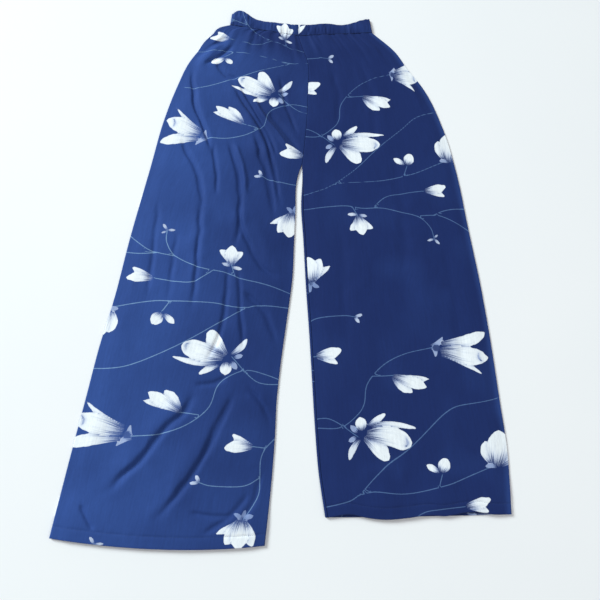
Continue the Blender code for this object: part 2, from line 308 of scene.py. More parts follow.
OPEN_MAGNOLIA = rows(
    Petal,
    (5, -10, 27, -42, 5.5, 0.60, 0.08, 0.8, 0.80),
    (11, -5, 25, -12, 4.0, 0.55, 0.0, 0.6, 0.46),
    (8, 2, 19, 15, 4.6, 0.55, 0.0, 0.6, 0.46),
    (-12, 13, -42, 34, 5.2, 0.60, 0.04, 0.7, 1.0),
    (-17, 11, -92, 12, 5.2, 0.45, -0.05, 0.8, 0.97),
    (-4, -6, -40, -44, 13.0, 0.70, -0.04, 0.50, 1.0),
    (-8, -2, -81, -9, 17.0, 0.64, 0.0, 0.52, 1.0),
    (-69, -17, -73, -4, 1.8, 0.50, 0.2, 0.7, 0.55),
    (0, 5, 1, 28, 9.8, 0.52, 0.0, 0.6, 1.0),
)
SIDE_MAGNOLIA = rows(
    Petal,
    (9, 1, 2, -17, 3.6, 0.55, -0.2, 0.7, 0.50),
    (9, 5, -14, 21, 4.4, 0.50, 0.16, 0.6, 0.50),
    (-8, -14, -78, -44, 4.6, 0.55, -0.08, 0.9, 0.95),
    (-10, 8, -93, 33, 10.2, 0.64, 0.05, 0.66, 1.0),
    (-8, -5, -92, -13, 16.2, 0.58, 0.0, 0.60, 1.0),
    (-79, -19, -75, -4, 1.7, 0.50, -0.2, 0.7, 0.50),
    (-8, -1, 7, 1, 6.0, 0.50, 0.0, 0.5, 0.10),
)
HALF_OPEN_BUD = rows(
    Petal,
    (0, 0, -32, -32, 8.5, 0.60, 0.06, 0.7, 1.0),
    (0, 0, -66, -8, 6.5, 0.58, 0.05, 0.85, 0.96),
    (-2, -1, -58, -24, 10.0, 0.66, 0.0, 0.62, 1.0),
)
SMALL_BUD = rows(
    Petal,
    (0, -1, -36, -14, 6.5, 0.62, -0.06, 0.7, 1.0),
    (0, 1, -46, 10, 10.0, 0.56, 0.03, 0.66, 1.0),
)
TWO_PETALS = rows(
    Petal,
    (0, -1, -37, -12, 6.5, 0.62, -0.06, 0.7, 1.0),
    (0, 1, -44, 8, 8.5, 0.58, 0.03, 0.7, 1.0),
)
TULIP_BUD = rows(
    Petal,
    (-2, 0, -25, -24, 7.0, 0.66, 0.12, 0.75, 1.0),
    (2, 0, 17, -26, 7.0, 0.66, -0.12, 0.75, 1.0),
    (0, 1, -5, -35, 11.0, 0.60, 0.0, 0.66, 1.0),
    (-1, 3, -18, 0, 3.0, 0.55, 0.0, 0.9, 0.60),
    (1, 4, 21, 5, 3.0, 0.55, 0.0, 0.9, 0.72),
)
BUD_PAIR = rows(
    Petal,
    (3, 3, 23, 17, 5.5, 0.64, 0.0, 0.6, 0.97),
    (-1, 3, -14, 24, 10.5, 0.52, 0.0, 0.5, 1.0),
)
THREE_LEAVES = rows(
    Petal,
    (0, 0, -10, -11, 2.6, 0.6, 0.0, 0.8, 0.62),
    (0, 0, 14, -3, 2.2, 0.6, 0.0, 0.8, 0.62),
    (0, 2, -9, 8, 1.8, 0.6, 0.0, 0.8, 0.55),
)
TWO_LEAVES = rows(
    Petal,
    (0, 0, -8, -12, 3.2, 0.6, 0.0, 0.8, 0.64),
    (0, 0, -16, 4, 2.8, 0.6, 0.0, 0.8, 0.60),
)
NODDING_MAGNOLIA = rows(
    Petal,
    (-5, 4, -38, 30, 5.0, 0.60, -0.05, 0.85, 0.95),
    (-3, 2, -20, 44, 10.0, 0.60, 0.0, 0.7, 1.0),
    (3, 2, 24, 40, 10.0, 0.60, 0.0, 0.7, 0.98),
    (0, 2, 1, 48, 14.0, 0.60, 0.0, 0.64, 1.0),
    (0, 2, -15, -6, 3.6, 0.60, 0.1, 0.8, 0.34),
    (2, 2, 18, -8, 4.0, 0.60, -0.1, 0.8, 0.36),
    (0, 0, 3, -15, 3.0, 0.60, 0.0, 0.8, 0.34),
)
ROUND_MAGNOLIA = rows(
    Petal,
    (-6, 4, -52, 42, 14.0, 0.60, 0.05, 0.66, 1.0),
    (5, 4, 14, 46, 12.0, 0.62, -0.05, 0.6, 1.0),
    (0, 2, -16, 62, 20.0, 0.60, 0.0, 0.55, 1.0),
    (0, 0, 20, 2, 4.0, 0.60, 0.1, 0.8, 0.45),
)
MOTIFS = rows(
    Motif,
    (26, 7, OPEN_MAGNOLIA),
    (-110, 163, SIDE_MAGNOLIA),
    (-34, 111, HALF_OPEN_BUD),
    (95, 147, SMALL_BUD),
    (-128, -112, TWO_PETALS),
    (1, -164, TULIP_BUD),
    (-98, -55, BUD_PAIR),
    (-122, -205, THREE_LEAVES),
    (20, 220, TWO_LEAVES),
    (100, 266, NODDING_MAGNOLIA),
    (-192, -48, ROUND_MAGNOLIA),
)
STEMS = (
    ((-215, 68), (-160, 58), (-120, 40), (-55, -7), (10, -64), (45, -92), (80, -102), (185, -110)),
    ((-185, -46), (-125, -69), (-90, -77), (-20, -88), (20, -88), (45, -92)),
    ((-90, -77), (-99, -57)),
    ((-215, -200), (-156, -166), (-130, -160), (-98, -160)),
    ((-215, -148), (-163, -151), (-130, -160)),
    ((-122, -204), (-118, -182), (-98, -160), (-53, -148), (-9, -148), (22, -142), (80, -138), (185, -118)),
    ((-124, -112), (-85, -114), (-58, -120), (-32, -144)),
    ((2, -163), (10, -146)),
    ((-103, 164), (-58, 152), (-17, 128), (11, 95), (18, 58), (32, 38), (62, 20), (100, 22), (140, 30)),
    ((-34, 111), (-1, 110)),
    ((140, 30), (95, 38), (70, 30), (34, 2)),
    ((130, 128), (117, 148), (113, 168), (117, 196), (120, 222), (112, 247), (102, 266)),
    ((95, 147), (117, 146)),
    ((20, 220), (42, 222), (92, 214), (117, 196)),
)


# ---------------------------------------------------------------- shaping


def smooth(table, at):
    """The value at each place, read from a smooth curve through a table's (place, value) rows."""
    knots, values = np.array(table).T
    slopes = np.gradient(values, knots)
    at = np.clip(at, knots[0], knots[-1])
    row = np.clip(np.searchsorted(knots, at) - 1, 0, len(knots) - 2)
    span = knots[row + 1] - knots[row]
    t = (at - knots[row]) / span
    return (
        values[row] * (1 + 2 * t) * (1 - t) ** 2
        + values[row + 1] * t * t * (3 - 2 * t)
        + span * (slopes[row] * t * (1 - t) ** 2 - slopes[row + 1] * t * t * (1 - t))
    )


def ease(distance, reach):
    """0 at an edge, rising softly to 1 at the given reach from it."""
    t = np.clip(distance / reach, 0.0, 1.0)
    return t * t * (3 - 2 * t)


def ripple(x, y, scale, seed):
    """Smooth seeded noise between -1 and 1, with features about as large as scale."""
    grid = np.random.default_rng(seed).uniform(-1.0, 1.0, (64, 64))
    x, y = np.broadcast_arrays(np.asarray(x) / scale + 1000.0, np.asarray(y) / scale + 1000.0)
    ix, iy = np.floor(x).astype(int), np.floor(y).astype(int)
    fx, fy = x - ix, y - iy
    fx, fy = fx * fx * (3 - 2 * fx), fy * fy * (3 - 2 * fy)
    low = grid[ix % 64, iy % 64] * (1 - fx) + grid[(ix + 1) % 64, iy % 64] * fx
    high = grid[ix % 64, (iy + 1) % 64] * (1 - fx) + grid[(ix + 1) % 64, (iy + 1) % 64] * fx
    return low * (1 - fy) + high * fy


def curve_through(points, step):
    """Points about a step apart on a smooth curve through the given ones."""
    points = np.asarray(points, dtype=float)
    padded = np.vstack([2 * points[0] - points[1], points, 2 * points[-1] - points[-2]])
    stretches = []
    for p0, p1, p2, p3 in zip(padded, padded[1:], padded[2:], padded[3:]):
        count = max(2, int(np.ceil(np.linalg.norm(p2 - p1) / step)))
        t = np.linspace(0.0, 1.0, count, endpoint=False)[:, None]
        stretches.append(
            0.5 * (2 * p1 + (p2 - p0) * t + (2 * p0 - 5 * p1 + 4 * p2 - p3) * t**2
                   + (3 * p1 - p0 - 3 * p2 + p3) * t**3)
        )
    return np.vstack([*stretches, points[-1:]])


def to_route(x, y, route):
    """Distance from each point to a route, which side it is on, and how far along it is (0 to 1)."""
    near = np.full(x.shape, 1e9)
    side = np.ones(x.shape)
    along = np.zeros(x.shape)
    lengths = np.hypot(*np.diff(route, axis=0).T)
    total, done = lengths.sum(), 0.0
    for (ax, ay), (bx, by), length in zip(route[:-1], route[1:], lengths):
        dx, dy = (bx - ax) / length, (by - ay) / length
        t = np.clip((x - ax) * dx + (y - ay) * dy, 0.0, length)
        away = np.hypot(x - ax - dx * t, y - ay - dy * t)
        closer = away < near
        near = np.where(closer, away, near)
        side = np.where(closer, np.where((x - ax) * dy > (y - ay) * dx, 1.0, -1.0), side)
        along = np.where(closer, (done + t) / total, along)
        done += length
    return near, side, along


def crease_height(across, drop):
    """The creases' ridges and troughs added together, and how near a sharp one is, 0 to 1."""
    height, sharp = np.zeros_like(across), np.zeros_like(across)
    for number, crease in enumerate(RIGHT_CREASES + LEFT_CREASES):
        width = crease.half_width * MM
        route = curve_through(crease.route, 0.012)
        low, high = route.min(axis=0) - 3 * width, route.max(axis=0) + 3 * width
        close = (across > low[0]) & (across < high[0]) & (drop > low[1]) & (drop < high[1])
        if not close.any():
            continue
        x, y = across[close], drop[close]
        away, _, along = to_route(x + 0.4 * width * ripple(x, y, 0.021, 50 + number), y, route)
        fade = ease(along, 0.22) * ease(1.0 - along, 0.28)
        uneven = 1.0 + 0.25 * ripple(x, y, 0.03, 150 + number)
        height[close] += crease.height * MM * fade * uneven * np.exp(-((away / width) ** 2))
        if crease.half_width <= SHARP_CREASE:
            sharp[close] = np.maximum(sharp[close], fade * np.exp(-((away / (1.7 * width)) ** 2)))
    return height, sharp


def pleats(at_waist, drop):
    """Fine and broad uneven pleats, by where they leave the waist seam."""
    place = at_waist + 0.0025 * ripple(at_waist, drop, 0.02, 31)
    return ripple(place, 0.25 * drop, 0.0036, 32), ripple(place, 0.15 * drop, 0.0080, 33)


# ---------------------------------------------------------------- a leg's panels


def leg_lines(leg, down):
    """Inner and outer (across, drop) of a leg's edges at each inner drop down the leg."""
    inner_waist, inner_hem = WAIST_SEAM_CENTRE[1], leg.inseam[-1].drop
    outer_waist, outer_hem = leg.outseam[0].drop, leg.outseam[-1].drop
    outer_crotch = CROTCH_DROP + CROTCH_TO_OUTSEAM
    outer_drop = np.interp(
        down, (inner_waist, CROTCH_DROP, inner_hem), (outer_waist, outer_crotch, outer_hem)
    )
    inner = np.where(down < CROTCH_DROP, smooth(CENTRE_SEAM, down), smooth(leg.inseam, down))
    return inner, down, smooth(leg.outseam, outer_drop), outer_drop


def waist_drop(leg, share):
    return leg.outseam[0].drop * share + WAIST_SEAM_CENTRE[1] * (1 - share)


def hem_drop(leg, share):
    return leg.outseam[-1].drop * share + leg.inseam[-1].drop * (1 - share)


def waist_gathers(leg, share, drop):
    """Pleats that run down from the elastic, the fine ones first to fade out."""
    at_waist = WAIST_SEAM_CENTRE[0] + (leg.outseam[0].across - WAIST_SEAM_CENTRE[0]) * share
    below = drop - waist_drop(leg, share)
    fine, broad = pleats(at_waist, drop)
    return fine * (1 - ease(below, 0.055)) + 1.7 * broad * (1 - ease(below, GATHER_REACH))


def front_height(leg, across, drop, share):
    """Height of the middle of the front cloth above the floor."""
    inner, _, outer, _ = leg_lines(leg, drop)
    width = np.abs(outer - inner)
    below_waist = drop - waist_drop(leg, share)
    above_stitching = hem_drop(leg, share) - HEM_TURN_UP - drop + sag(leg, share, drop)
    from_outer = ease((1 - share) * width, SEAM_EASE)
    from_inner = ease(share * width, SEAM_EASE)
    open_inner = ease(drop - CROTCH_DROP + 0.045, 0.060)
    inside = from_outer * (1 - open_inner * (1 - from_inner))
    base = (
        LEG_BASE
        + (WAIST_BASE - LEG_BASE) * (1 - ease(below_waist, WAIST_BASE_REACH))
        + (HEM_BASE - LEG_BASE) * (1 - ease(above_stitching, HEM_BASE_REACH))
    )
    calm = 1 - 0.55 * ease(across + 0.010, 0.060)
    broad, fine = DRAPE_HEIGHTS
    drape = calm * MM * (broad * ripple(across, drop, 0.030, 3) + fine * ripple(across, drop, 0.011, 4))
    lift = (CROWN + crease_height(across, drop)[0] + drape) * ease(below_waist, 0.030)
    gathered = GATHER_HEIGHT * waist_gathers(leg, share, drop) * ease(share * width, 0.010)
    pucker = 1 + 0.6 * ripple(across, 0.0, 0.005, 5)
    stitched = -STITCH_DIP * pucker * np.exp(-((above_stitching / STITCH_DIP_REACH) ** 2))
    waist_line = -0.0001 * np.exp(-((below_waist / 0.0030) ** 2))
    rest = base + SOLID_WALL - CLOTH / 2
    height = rest + inside * lift + from_outer * gathered + stitched + waist_line
    lowest = base + CLOTH / 2
    return np.where(height < lowest, lowest + 0.3 * (height - lowest), height)


def back_height(leg, share, drop):
    """Height of the middle of the back cloth above the floor: flat, but for its gathers."""
    aside = ease(share, 0.1) * ease(1 - share, 0.1)
    return CLOTH / 2 + BACK_GATHER_HEIGHT * aside * np.maximum(waist_gathers(leg, share, drop), 0.0)


def sag(leg, share, drop):
    """How much lower the middle of the hem hangs than a straight line between its corners."""
    below = np.clip((drop - CROTCH_DROP) / (leg.inseam[-1].drop - CROTCH_DROP), 0.0, 1.0)
    return leg.hem_sag * 4 * share * (1 - share) * below**3


def round_edge(radius, turn):
    """Sideways and inward travel round an edge of the given radius, after turning by an angle."""
    return radius * np.sin(turn), radius * (1 - np.cos(turn))


def panel_points(leg, is_front, column, down):
    """Across, drop and height of a panel's cloth, and its share of the way to the outer edge.

    column runs from 0 at the inner edge to 1 at the outer one, and on to -1 and 2 over the
    rounded edges that meet the other panel. down runs on past the hem into its turn-up.
    """
    hem = leg.inseam[-1].drop
    outwards = -1.0 if leg.side == "right" else 1.0
    facing = 1.0 if is_front else -1.0
    past = np.maximum(down - hem + HEM_FOLD, 0.0)
    fold_turn = np.minimum(past / HEM_FOLD, math.pi)
    fold_out, inward = round_edge(HEM_FOLD, fold_turn)
    level = np.minimum(down, hem - HEM_FOLD) + fold_out - np.maximum(past - math.pi * HEM_FOLD, 0.0)

    inner, inner_drop, outer, outer_drop = leg_lines(leg, level)
    below = ease(level - CROTCH_DROP, INSEAM_WRAP_REACH) * (leg.inseam_wrap > 0)
    wrap = leg.inseam_wrap * below
    inner = inner + outwards * (CLOTH / 2 + SEAM_GAP / 3 + (wrap if is_front else 0.0))
    outer = outer - outwards * CLOTH / 2
    share = np.clip(column, 0.0, 1.0)
    middle = inner + (outer - inner) * share
    drop = inner_drop + (outer_drop - inner_drop) * share
    drop = drop + sag(leg, share, drop)
    front, back = front_height(leg, middle, drop, share), back_height(leg, share, drop)
    height = front if is_front else back

    half_gap = (front - back) / 2
    open_seam = ease(level - CROTCH_DROP + 0.012, 0.024) * ((1 - below) if is_front else 1.0)
    outer_radius = half_gap - SEAM_GAP / 2
    inner_radius = CENTRE_TUCK + (outer_radius - CENTRE_TUCK) * open_seam
    turn = np.maximum(-column, 0.0) * math.pi / 2
    aside, rise = round_edge(inner_radius, turn)
    if leg.inseam_wrap > 0 and not is_front:
        lay = np.maximum(wrap - CLOTH / 2 - SEAM_GAP - half_gap, 0.0)
        run = np.maximum(-column, 0.0) * (math.pi * half_gap + lay)
        round_turn = np.minimum(run / half_gap, math.pi)
        wrap_aside, wrap_rise = round_edge(half_gap, round_turn)
        wrap_aside = wrap_aside - np.maximum(run - math.pi * half_gap, 0.0)
        aside = aside + (wrap_aside - aside) * below
        rise = rise + (wrap_rise - rise) * below
        turn = turn + (round_turn - turn) * below
        inner_radius = inner_radius + (half_gap - inner_radius) * below
    outer_turn = np.maximum(column - 1.0, 0.0) * math.pi / 2
    outer_aside, outer_rise = round_edge(outer_radius, outer_turn)

    start = inner + outwards * inner_radius
    end = outer - outwards * outer_radius
    across = start + (end - start) * share + outwards * (outer_aside - aside)
    across = across - outwards * inward * (np.sin(outer_turn) - np.sin(turn))
    height = height - facing * (rise + outer_rise + inward * np.cos(turn + outer_turn))
    if is_front:
        near_hem = 1 - ease(hem - level, 0.090)
        drop = drop - smooth(leg.hem_waves, share) * near_hem
    return across, drop, height, share


def panel_rows(leg, cell):
    """The drops of a panel's rows, closer together at the hem's stitching and round its fold."""
    waist, hem = WAIST_SEAM_CENTRE[1], leg.inseam[-1].drop
    stitch = hem - HEM_TURN_UP
    top = waist + np.arange(0.0, 2 * FINE_ROWS_REACH, FINE_ROW)
    first, last = top[-1], stitch - FINE_ROWS_REACH
    main = np.linspace(first, last, int(round((last - first) / cell)) + 1)[1:]
    fine = np.arange(last + FINE_ROW, stitch + FINE_ROWS_REACH, FINE_ROW)
    end = hem - HEM_FOLD
    lower = np.linspace(fine[-1], end, int(round((end - fine[-1]) / cell)) + 1)[1:]
    fold = end + math.pi * HEM_FOLD * np.linspace(0.0, 1.0, 6)[1:]
    turn_up = fold[-1] + np.linspace(0.0, HEM_TURN_UP - TURN_UP_SHORT, 6)[1:]
    return np.concatenate([top, main, fine, lower, fold, turn_up])


def cloth_coordinates(leg, is_front, across, drop, share):
    """Place on the flat cloth, in metres: u across it and v down the right leg's repeat."""
    if is_front:
        held, aside, down = PULL_HOLD, 0.0, 0.0
        for pull in leg.pulls:
            weight = np.exp(-((across - pull.across) ** 2 + (drop - pull.drop) ** 2) / PULL_REACH**2)
            held, aside, down = held + weight, aside + weight * pull.aside, down + weight * pull.down
        across, drop = across - aside / held, drop - down / held
    pulled_in = 1 - ease(drop - waist_drop(leg, share) + 0.02, 0.100)
    x = across * (1 + 0.32 * pulled_in) - leg.print_at[0]
    y = drop - 0.030 * pulled_in - leg.print_at[1]
    down_x, down_y = leg.print_down
    v = (x * down_x + y * down_y) * leg.slack
    u = x * down_y - y * down_x
    if not is_front:
        u, v = u + BACK_PRINT_SHIFT[0], v + BACK_PRINT_SHIFT[1]
    return (u, v) if leg.side == "right" else (-u, -v)


# ---------------------------------------------------------------- drawing the print


def petal_field(petal, u, v):
    """Signed distance into one petal, and the place in it: along from base to tip, and across."""
    dx, dy = petal.tip_u - petal.from_u, petal.tip_v - petal.from_v
    length = math.hypot(dx, dy)
    ex, ey = dx / length, dy / length
    x, y = u - petal.from_u, v - petal.from_v
    t = (x * ex + y * ey) / length
    inside = np.clip(t, 0.0, 1.0)
    aside = y * ex - x * ey - petal.bend * length * 4 * inside * (1 - inside)
    opening = PETAL_BASE + (1 - PETAL_BASE) * np.sin(math.pi / 2 * np.minimum(inside / petal.full, 1.0))
    closing = np.cos(math.pi / 2 * np.maximum(inside - petal.full, 0.0) / (1 - petal.full)) ** petal.point
    ragged = PETAL_RAGGED * ripple(u, v, 6.0, 21) * inside + TIP_RAGGED * ripple(u, v, 8.0, 22) * inside**4
    breadth = petal.half * opening * closing + ragged * min(1.0, petal.half / 8.0)
    past = np.abs(t - inside) * length
    field = np.where(past > 0, -np.hypot(aside, past), breadth - np.abs(aside))
    return field, inside, np.clip(aside / np.maximum(breadth, 0.6), -1.5, 1.5)


def draw_print(u, v):
    """The print's attributes at places on the flat cloth, which are given in metres."""
    u, v = u / MM, v / MM
    count = len(u)
    art = {
        "petal": np.full(count, -12.0), "along": np.zeros(count), "vein": np.zeros(count),
        "white": np.ones(count), "under": np.zeros(count),
        "stem": np.full(count, STEM_REACH), "stem_near": np.full(count, STEM_REACH),
    }
    wide, tall = REPEAT_U / MM, REPEAT_V / MM
    copies = [
        (i * wide, j * tall)
        for i in range(math.floor((u.min() - 250) / wide), math.ceil((u.max() + 250) / wide) + 1)
        for j in range(math.floor((v.min() - 350) / tall), math.ceil((v.max() + 350) / tall) + 1)
    ]
    for shift_u, shift_v in copies:
        for motif in MOTIFS:
            x, y = u - motif.u - shift_u, v - motif.v - shift_v
            close = np.nonzero((np.abs(x) < MOTIF_REACH) & (np.abs(y) < MOTIF_REACH))[0]
            if len(close) == 0:
                continue
            for petal in motif.petals:
                field, along, vein = petal_field(petal, x[close], y[close])
                before = art["petal"][close]
                top = (field > -0.6) | (field > before)
                shadow = np.exp(-np.abs(np.minimum(field, 0.0)) / 2.2) * (field < 0) * (before > 0)
                under = np.where(top, 0.0, np.maximum(art["under"][close], shadow))
                art["under"][close] = under
                for name, value in (("along", along), ("vein", vein), ("white", petal.white)):
                    art[name][close] = np.where(top, value, art[name][close])
                art["petal"][close] = np.maximum(before, field)
        for stem in STEMS:
            route = curve_through(stem, STEM_STEP / MM)
            x, y = u - shift_u, v - shift_v
            low, high = route.min(axis=0) - STEM_REACH, route.max(axis=0) + STEM_REACH
            close = np.nonzero((x > low[0]) & (x < high[0]) & (y > low[1]) & (y < high[1]))[0]
            if len(close) == 0:
                continue
            near, side, _ = to_route(x[close], y[close], route)
            nearer = near < art["stem_near"][close]
            art["stem"][close] = np.where(nearer, near * side, art["stem"][close])
            art["stem_near"][close] = np.minimum(near, art["stem_near"][close])
    return art


# ---------------------------------------------------------------- meshes


def grid_mesh(columns, rows):
    """A grid laid out flat in its own column and row numbers, as a bmesh."""
    bm = bmesh.new()
    points = [[bm.verts.new((column, row, 0.0)) for column in columns] for row in rows]
    for upper, lower in zip(points, points[1:]):
        for a, b, c, d in zip(upper, upper[1:], lower[1:], lower):
            bm.faces.new((a, b, c, d))
    return bm


def refine(bm, is_wanted):
    """Splits the faces where the print needs a finer grid."""
    bm.verts.index_update()
    wanted = is_wanted(np.array([vert.co[:2] for vert in bm.verts]))
    edges = {edge for face in bm.faces if any(wanted[v.index] for v in face.verts) for edge in face.edges}
    bm.edges.index_update()
    edges = sorted(edges, key=lambda edge: edge.index)
    bmesh.ops.subdivide_edges(bm, edges=edges, cuts=1, use_grid_fill=True)


def grid_places(mesh):
    """Column and row of each point of a grid that hasn't been shaped yet."""
    places = np.empty(len(mesh.vertices) * 3)
    mesh.vertices.foreach_get("co", places)
    return places.reshape(-1, 3)[:, 0], places.reshape(-1, 3)[:, 1]


def shape_mesh(mesh, across, drop, height, is_front, is_outer):
    """Puts the points where the cloth lies, with the right side of its outer layer facing out."""
    points = np.stack([WAIST_X + across, WAIST_Y - drop, height], axis=-1)
    mesh.vertices.foreach_set("co", points.ravel())
    mesh.update()
    facing = sum(
        polygon.normal.z * polygon.area for polygon in mesh.polygons if is_outer[polygon.vertices[0]]
    )
    if (facing > 0) != is_front:
        mesh.flip_normals()


def set_print(mesh, u, v, nap, faint):
    """Writes the print, the painted shade and tone, and the flat cloth's coordinates onto the points.

    faint is how far the branches sink into the gathers, 0 to 1.
    """
    art = draw_print(u, v)
    art["stem"] = art["stem"] + np.sign(art["stem"]) * FAINT_STEM * faint
    for name, values in {**art, "nap": nap}.items():
        layer = mesh.attributes.new(name, "FLOAT", "POINT")
        layer.data.foreach_set("value", np.asarray(values, dtype=np.float32))
    corners = np.empty(len(mesh.loops), dtype=np.int32)
    mesh.loops.foreach_get("vertex_index", corners)
    layer = mesh.uv_layers.new(name="cloth")
    layer.data.foreach_set("uv", np.stack([u[corners], v[corners]], axis=-1).astype(np.float32).ravel())


def new_object(name, data):
    made = bpy.data.objects.new(name, data)
    bpy.context.scene.collection.objects.link(made)
    return made


def cloth_object(name, mesh, material, thickness):
    """An object for a sheet of cloth, thickened to both sides and pale on its wrong side."""
    mesh.shade_smooth()
    mesh.materials.append(material)
    mesh.materials.append(wrong_side_finish())
    piece = new_object(name, mesh)
    wall = piece.modifiers.new("cloth", "SOLIDIFY")
    wall.thickness = thickness
    wall.offset = 0.0
    wall.material_offset = 1
    return piece


def make_panel(leg, is_front, cell, thickness):
    """One panel of a leg as a single sheet, its hem turned up inside it."""
    hem = leg.inseam[-1].drop
    count = int(round(abs(leg.outseam[-1].across - leg.inseam[-1].across) / cell))
    edge = np.array(EDGE_RUN_STEPS)
    columns = np.concatenate([-edge[::-1], np.linspace(0.0, 1.0, count + 1), 1 + edge])
    bm = grid_mesh(columns, panel_rows(leg, cell))

    def on_cloth(column, down):
        across, drop, _, share = panel_points(leg, is_front, column, down)
        turned = np.maximum(down - hem, 0.0)
        return cloth_coordinates(leg, is_front, across, drop + 2 * turned, share)

    def needs_finer(places):
        across, drop, _, _ = panel_points(leg, is_front, *places.T)
        near_petal = draw_print(*on_cloth(*places.T))["petal"] > -PETAL_MARGIN / MM
        return near_petal | (is_front & (crease_height(across, drop)[1] > SHARP_SHARE))

    refine(bm, needs_finer)
    half = "front" if is_front else "back"
    name = f"{half}_panel_{leg.side}"
    mesh = bpy.data.meshes.new(name)
    bm.to_mesh(mesh)
    bm.free()
    column, down = grid_places(mesh)
    across, drop, height, share = panel_points(leg, is_front, column, down)
    shape_mesh(mesh, across, drop, height, is_front, down < hem)
    # Painted shade and tone: 0 takes the lit leg blue and 1 the blue darkened in painted shade, with a random
    # tone ripple on top.
    nap = 0.12 * ripple(across, drop, 0.05, 11)
    if leg.side == "left":
        inner, _, outer, _ = leg_lines(leg, np.minimum(drop, hem))
        # The left leg lies in painted shade, lighter within 13 mm of its outer edge.
        nap = nap + 1.0 - 0.45 * (1 - ease((1 - share) * np.abs(outer - inner), 0.013))
    else:
        # The right leg darkens in painted shade towards its inseam, less so low on the leg, and darkens below
        # the waist seam.
        inwards = 1 - ease(share - 0.12, 0.72)
        nap = nap + 0.08 + 0.74 * inwards * (1 - 0.28 * ease(drop - 0.60, 0.35))
        nap = nap + 0.45 * (1 - ease(drop - waist_drop(leg, share), 0.070))
    faint = 1 - ease(drop - waist_drop(leg, share), FAINT_REACH)
    set_print(mesh, *on_cloth(column, down), nap, faint)
    piece = cloth_object(name, mesh, printed_finish(leg.side), thickness)
    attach(piece, "root")
    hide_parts(f"{half}_leg_{leg.side}", f"hem_{half}_{leg.side}")
    return piece


def lay_panel(leg, is_front, cell, thickness, sewing):
    """A panel with the stitching of its hem."""
    piece = make_panel(leg, is_front, cell, thickness)
    stitch = leg.inseam[-1].drop - HEM_TURN_UP
    column = np.linspace(0.005, 0.995, 240)
    across, drop, height, _ = panel_points(leg, is_front, column, np.full_like(column, stitch))
    height = height + (thickness / 2 if is_front else 0.0)
    stitching = make_stitching("hem_stitching_" + piece.name, [(across, drop, height)], sewing)


# ---------------------------------------------------------------- waistband


def band_heights(is_front, across, drop, rise):
    """Heights of the outer and inner layers of the waistband, rise being 0 at its seam, 1 on top."""
    fine, broad = pleats(across, drop)
    fade = ease(across - WAIST_SEAM_RIGHT[0], 0.008) * ease(WAIST_SEAM_LEFT[0] - across, 0.008)
    wave = (fine + 0.5 * broad) * fade * (0.65 + 0.5 * ripple(across, 0.0, 0.022, 43))
    if not is_front:
        outer = CLOTH / 2 + BACK_GATHER_HEIGHT * np.maximum(wave, 0.0)
        return outer, outer + BAND_PUFF + 0.0002 * broad * fade
    bunch = np.exp(-(((across - BUNCH_ACROSS) / BUNCH_HALF_WIDTH) ** 2))
    crumple = ripple(across, 0.4 * drop, 0.0065, 41) + 0.6 * ripple(across, 0.6 * drop, 0.0032, 42)
    hump = BUNCH_HEIGHT * bunch * (0.75 + 0.45 * crumple)
    seam = np.exp(-(((across - BAND_CENTRE_SEAM - 0.004 * rise) / 0.0012) ** 2))
    puffed = np.sin(math.pi * np.clip(0.03 + 0.88 * rise, 0.0, 1.0)) ** 0.7
    outer = WAIST_BASE + SOLID_WALL - CLOTH / 2 + BAND_PUFF * puffed + BAND_WAVE * wave - BAND_SEAM_DIP * seam
    outer = outer + hump * ease(rise, 0.3)
    inner = WAIST_BASE + SEAM_GAP + 0.0002 * broad * fade + 0.25 * hump
    return outer, np.minimum(inner, outer - BAND_LEAST_DEPTH)


def band_points(is_front, column, row):
    """Where the waistband's cloth lies. row runs from 0 at the seam, over the top at 1 to 2, to 3."""
    share = np.clip(column, 0.0, 1.0)
    seam_across = WAIST_SEAM_RIGHT[0] + (WAIST_SEAM_LEFT[0] - WAIST_SEAM_RIGHT[0]) * share
    top_across = BAND_TOP_ACROSS[0] + (BAND_TOP_ACROSS[1] - BAND_TOP_ACROSS[0]) * share
    seams = (WAIST_SEAM_RIGHT, WAIST_SEAM_CENTRE, WAIST_SEAM_LEFT)
    seam_drop = np.interp(seam_across, *zip(*seams)) - SEAM_GAP / 2
    outline = [(point.across, point.drop) for point in BAND_TOP]
    fine, broad = pleats(top_across, 0.0)
    top_drop = smooth(outline, top_across) + 0.0007 * fine + 0.0006 * broad
    layer = np.where(row < 1.5, np.clip(row, 0.0, 1.0), np.clip(3.0 - row, 0.0, 1.0))
    across = seam_across + (top_across - seam_across) * layer
    drop = seam_drop + (top_drop + BAND_EDGE_ROUND - seam_drop) * layer
    outer, inner = band_heights(is_front, across, drop, layer)
    facing = 1.0 if is_front else -1.0
    turn = np.clip(row - 1.0, 0.0, 1.0) * math.pi
    radius = np.abs(outer - inner) / 2
    height = np.where(row <= 1.0, outer, np.where(row >= 2.0, inner, 0.0))
    folded = (outer + inner) / 2 + facing * radius * np.cos(turn)
    on_fold = (row > 1.0) & (row < 2.0)
    height = np.where(on_fold, folded, height)
    drop = drop - np.where(on_fold, np.minimum(radius, BAND_EDGE_ROUND) * np.sin(turn), 0.0)
    # The ends of both halves curl towards each other
    ends = np.maximum(-column, 0.0) + np.maximum(column - 1.0, 0.0)
    curl = np.abs(height - BAND_MIDDLE) - SEAM_GAP / 2
    towards = np.where(column < 0.5, -1.0, 1.0)
    pulled_in = curl * np.exp(-(np.minimum(share, 1 - share) / 0.012))
    aside, rise = round_edge(curl, ends * math.pi / 2)
    across = across + towards * (aside - pulled_in)
    height = height - np.sign(height - BAND_MIDDLE) * rise
    return across, drop, height, share


